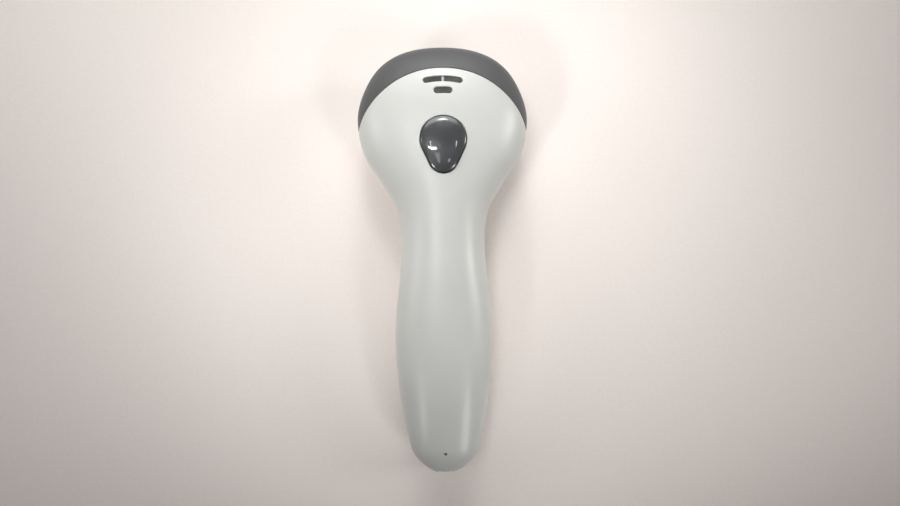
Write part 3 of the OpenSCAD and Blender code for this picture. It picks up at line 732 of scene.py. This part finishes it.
def film_label(name):
    """A blank silver polyester label."""
    look = Look(name)
    brushed = look.noise(900, 4, 0.6, look.stretched((14, 0.8, 1)))
    base = look.mix(look.range(brushed, 0.35, 0.65), (0.50, 0.51, 0.53), (0.66, 0.67, 0.68))
    roughness = look.range(brushed, 0.3, 0.7, 0.3, 0.42)
    return look.set(Base_Color=base, Metallic=0.55, Roughness=roughness, Normal=look.bump(brushed, 0.2, 0.01))


def glossy_button(name):
    """Polished dark plastic that finger use has slightly dulled, with a hard clear surface."""
    look = Look(name)
    color = (0.044, 0.046, 0.048)
    wear = look.range(look.noise(75, 5, 0.62), 0.38, 0.70)
    base = look.mix(wear, color, shade(color, 1.35))
    dust = look.range(look.noise(2300, 2, 0.6), 0.715, 0.76)
    base = look.mix(look.range(dust, 0, 1, 0, 0.35), base, (0.22, 0.22, 0.21))
    fine = look.noise(520, 4, 0.55)
    return look.set(
        Base_Color=base,
        Roughness=look.range(wear, 0, 1, 0.30, 0.42),
        Normal=look.bump(fine, 0.03, 0.03),
        Coat_Weight=1.0,
        Coat_Roughness=0.035,
    )


def smoky(name):
    """Dark indicator window with a pale stripe painted down its middle: a painted highlight standing in for a
    glint.
    """
    look = Look(name)
    cloud = look.range(look.noise(320, 3), 0.3, 0.7)
    base = look.mix(cloud, (0.050, 0.050, 0.044), (0.085, 0.084, 0.074))
    split = look.node("ShaderNodeSeparateXYZ", Vector=look.coords)
    off = look.node("ShaderNodeMath", Value=split.outputs["X"])
    off.operation = "ABSOLUTE"
    # Painted highlight: a pale stripe about a millimetre wide down the middle, in place of a glint.
    painted_glint = look.range(off.outputs[0], 0.25 * MM, 0.75 * MM, 1, 0)
    # Only the long slot, which lies ahead of this line, has the painted glint.
    front = look.range(split.outputs["Y"], 75 * MM, 75.2 * MM)
    both = look.node("ShaderNodeMath", Value=painted_glint)
    both.operation = "MULTIPLY"
    look.feed(both.inputs[1], front)
    # Painted highlight: the pale colour of the glint stripe, mixed over the dark window.
    base = look.mix(both.outputs[0], base, (0.55, 0.56, 0.53))
    rough = look.range(cloud, 0, 1, 0.28, 0.40)
    return look.set(Base_Color=base, Roughness=rough, Normal=look.bump(look.noise(600, 3), 0.05, 0.03))


HOUSING_COLOR = (0.575, 0.58, 0.552)
BUMPER_COLOR = (0.078, 0.079, 0.080)
LOOKS = {
    "housing": lambda n: moulded(n, HOUSING_COLOR, 0.33, 0.28, 0.16, 0.14),
    "bumper": lambda n: moulded(n, BUMPER_COLOR, 0.52, 0.25, 0.35, 0.10),
    "button": glossy_button,
    "window": lambda n: clear(n, (0.42, 0.012, 0.022), 0.03, 0.9),
    "smoke": smoky,
    "seal": foam,
    "board": board,
    "chip": lambda n: moulded(n, (0.022, 0.022, 0.024), 0.5, 0.12, 0.4, 0.2),
    "natural": lambda n: moulded(n, (0.72, 0.69, 0.60), 0.42, 0.2, 0.2, 0.1),
    "green_led": lambda n: clear(n, (0.45, 0.85, 0.45), 0.1, 0.7, 1.5),
    "red_led": lambda n: clear(n, (0.85, 0.30, 0.26), 0.1, 0.7, 1.5),
    "chassis": lambda n: moulded(n, (0.030, 0.031, 0.032), 0.58, 0.2, 0.5, 0.25),
    "brass": lambda n: metal(n, (0.66, 0.47, 0.20), 0.26, 0.2, (1, 14, 1)),
    "steel": lambda n: metal(n, (0.56, 0.57, 0.58), 0.22),
    "zinc": lambda n: metal(n, (0.52, 0.54, 0.56), 0.32, 0.1),
    "clear": lambda n: clear(n, (0.93, 0.96, 0.98), 0.02, 0.97, 1.52, 0.02),
    "mirror": lambda n: metal(n, (0.88, 0.90, 0.92), 0.09, -0.2),
    "magnet": lambda n: metal(n, (0.60, 0.60, 0.60), 0.20),
    "copper": wound,
    "filter": lambda n: clear(n, (0.55, 0.015, 0.02), 0.03, 0.9, 1.5),
    "dark_diode": lambda n: clear(n, (0.05, 0.02, 0.07), 0.06, 0.5, 1.5),
    "diode": lambda n: clear(n, (0.55, 0.50, 0.72), 0.06, 0.8, 1.5),
    "ribbon": striped_film,
    "can": lambda n: metal(n, (0.70, 0.70, 0.72), 0.28, 0.1, (1, 1, 9)),
    "beeper": lambda n: moulded(n, (0.018, 0.018, 0.018), 0.38, 0.15, 0.3, 0.15),
    "jack": lambda n: moulded(n, (0.022, 0.022, 0.023), 0.40, 0.2, 0.3, 0.2),
    "gold": lambda n: metal(n, (0.80, 0.58, 0.22), 0.18),
    "label": film_label,
}
looks = {name: make(name) for name, make in LOOKS.items()}
slot_of = {s["node"]: s["material_slot"] for s in frame["record"]["subparts"]}
for name, node in nodes.items():
    for s in node.material_slots:
        s.material = looks[slot_of[name]]

# ---------------------------------------------------------------- pieces on their bodies
for piece, slot, body, replaced in (
    (top, "housing", "housing", ["top_shell"]),
    (bottom, "housing", "housing", ["bottom_shell"]),
    (bumper, "bumper", "housing", ["front_bumper"]),
    (lens, "smoke", "housing", []),
    (button, "button", "trigger", ["trigger_button"]),
):
    piece.data.materials.clear()
    piece.data.materials.append(looks[slot])
    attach(piece, body)
    if replaced:
        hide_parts(*replaced)

# ---------------------------------------------------------------- floor, light
FLOOR_SIDE_MM, FLOOR_THICK_MM = 3000, 20
corners = np.array([(-1, -1), (1, -1), (1, 1), (-1, 1)]) * FLOOR_SIDE_MM / 2
floor = prism("floor", corners, -FLOOR_THICK_MM, 0)
paper = Look("paper")
fibre = paper.noise(700, 4, 0.6)
tone = paper.mix(paper.range(fibre, 0.3, 0.7), (0.89, 0.815, 0.765), (0.93, 0.85, 0.80))
rough = paper.range(fibre, 0, 1, 0.75, 0.9)
floor.data.materials.append(paper.set(Base_Color=tone, Roughness=rough, Normal=paper.bump(fibre, 0.1, 0.05)))


def softbox(name, size, glow, position, target=(0, 0, 0), spread=180):
    """A rectangular light, size across and up in metres. glow is how bright its face looks at full spread;
    a narrow spread gathers the same power into a beam."""
    data = bpy.data.lights.new(name, "AREA")
    data.shape = "RECTANGLE"
    data.size, data.size_y = size
    data.energy = glow * math.pi * size[0] * size[1]
    data.spread = math.radians(spread)
    light = bpy.data.objects.new(name, data)
    light.location = position
    light.rotation_euler = (Vector(target) - Vector(position)).to_track_quat("-Z", "Y").to_euler()
    bpy.context.scene.collection.objects.link(light)


# A low window beyond the nose, beams on both sides of the head and on its shoulders, light from overhead,
# and small lamps that only the button mirrors.
softbox("front_window", (0.68, 0.38), 2.9, (-0.05, 0.53, 0.32))
softbox("front_beam", (0.20, 0.10), 0.30, (0, 0.50, 0.45), (0, 0.075, 0.03), 18)
softbox("side_left", (0.40, 0.25), 0.145, (-0.50, 0.14, 0.26), (0, 0.065, 0.03), 23)
softbox("side_right", (0.40, 0.25), 0.29, (0.50, 0.14, 0.26), (0, 0.065, 0.03), 23)
softbox("shoulder_left", (0.15, 0.15), 0.36, (-0.36, -0.32, 0.42), (-0.01, 0.048, 0.03), 18)
softbox("shoulder_right", (0.30, 0.30), 0.21, (0.36, -0.32, 0.42), (0.01, 0.048, 0.03), 18)
softbox("overhead_strip", (0.06, 0.30), 1.15, (-0.27, 0.06, 1.0), (0, 0.068, 0), 29)
softbox("lamp_left", (0.027, 0.145), 12, (-0.253, 0.148, 1.0), (-0.253, 0.148, 0))
softbox("lamp_right", (0.027, 0.145), 12, (0.289, 0.148, 1.0), (0.289, 0.148, 0))
softbox("pane_left", (0.09, 0.22), 2.6, (-0.099, -0.154, 1.0), (-0.099, -0.154, 0))
softbox("pane_right", (0.07, 0.09), 5, (0.152, -0.196, 1.0), (0.152, -0.196, 0))

room = bpy.data.worlds.new("room")
room.use_nodes = True
room_nodes = room.node_tree.nodes
sky = room_nodes.new("ShaderNodeTexCoord")
split = room_nodes.new("ShaderNodeSeparateXYZ")
ramp = room_nodes.new("ShaderNodeMapRange")
# The room is darkest behind the handle and brightest beyond the nose.
for socket, value in zip(ramp.inputs[1:5], (-1, 1, 0.01, 0.16)):
    socket.default_value = value
room.node_tree.links.new(sky.outputs["Generated"], split.inputs[0])
room.node_tree.links.new(split.outputs["Y"], ramp.inputs[0])
room.node_tree.links.new(ramp.outputs[0], room_nodes["Background"].inputs["Strength"])
room_nodes["Background"].inputs["Color"].default_value = (1, 1, 1, 1)
bpy.context.scene.world = room
bpy.context.scene.view_settings.view_transform = "Standard"
